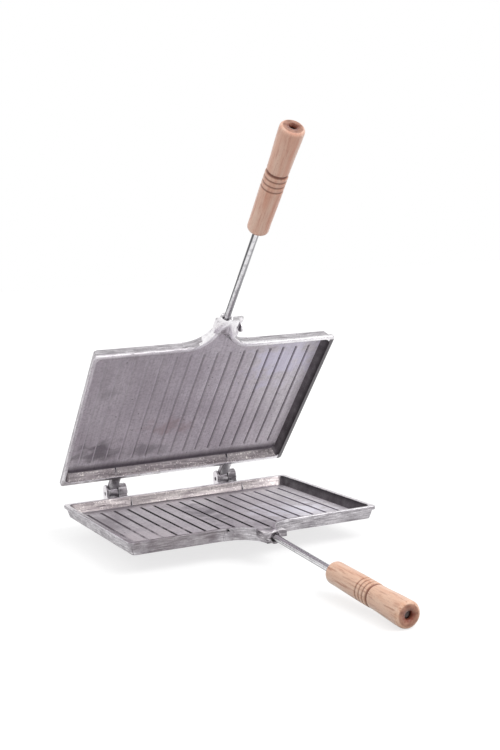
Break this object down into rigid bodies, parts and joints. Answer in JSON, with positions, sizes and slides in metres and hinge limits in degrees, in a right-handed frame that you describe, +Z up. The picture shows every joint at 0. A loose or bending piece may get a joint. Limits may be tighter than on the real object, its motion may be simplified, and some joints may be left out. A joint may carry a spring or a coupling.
{
  "type": "hinged sandwich press",
  "caption": "Hinged cast aluminium sandwich iron: two shallow grooved trays pinned at the back, each with a steel rod and turned wooden grip at the front, half open.",
  "frame": {"origin": "middle of the lower tray's flat underside", "axes": "+Y from the handles towards the hinge, +X to the right seen from the handles, +Z up out of the lower tray"},
  "size_m": [0.25, 0.4784, 0.3849],
  "materials": {
    "casting": "sand-cast aluminium, floors brushed, dull grey",
    "rod_steel": "drawn bright steel",
    "pin_steel": "plain steel, peened ends",
    "grip_wood": "turned beech, oiled, ring grooves darker"
  },
  "bodies": {
    "lower_half": {"lower_tray": "casting", "hinge_pin_left": "pin_steel", "hinge_pin_right": "pin_steel", "lower_rod": "rod_steel", "lower_rod_pin": "pin_steel", "lower_grip": "grip_wood", "lower_end_washer": "pin_steel"},
    "upper_half": {"upper_tray": "casting", "upper_rod": "rod_steel", "upper_rod_pin": "pin_steel", "upper_grip": "grip_wood", "upper_end_washer": "pin_steel"}
  },
  "joints": [
    {"name": "lid_hinge", "type": "hinge", "parent": "lower_half", "child": "upper_half", "pos_m": [0, 0.1205, 0.0127], "axis": [-1, 0, 0], "range_deg": [-46.4, 130]}
  ]
}
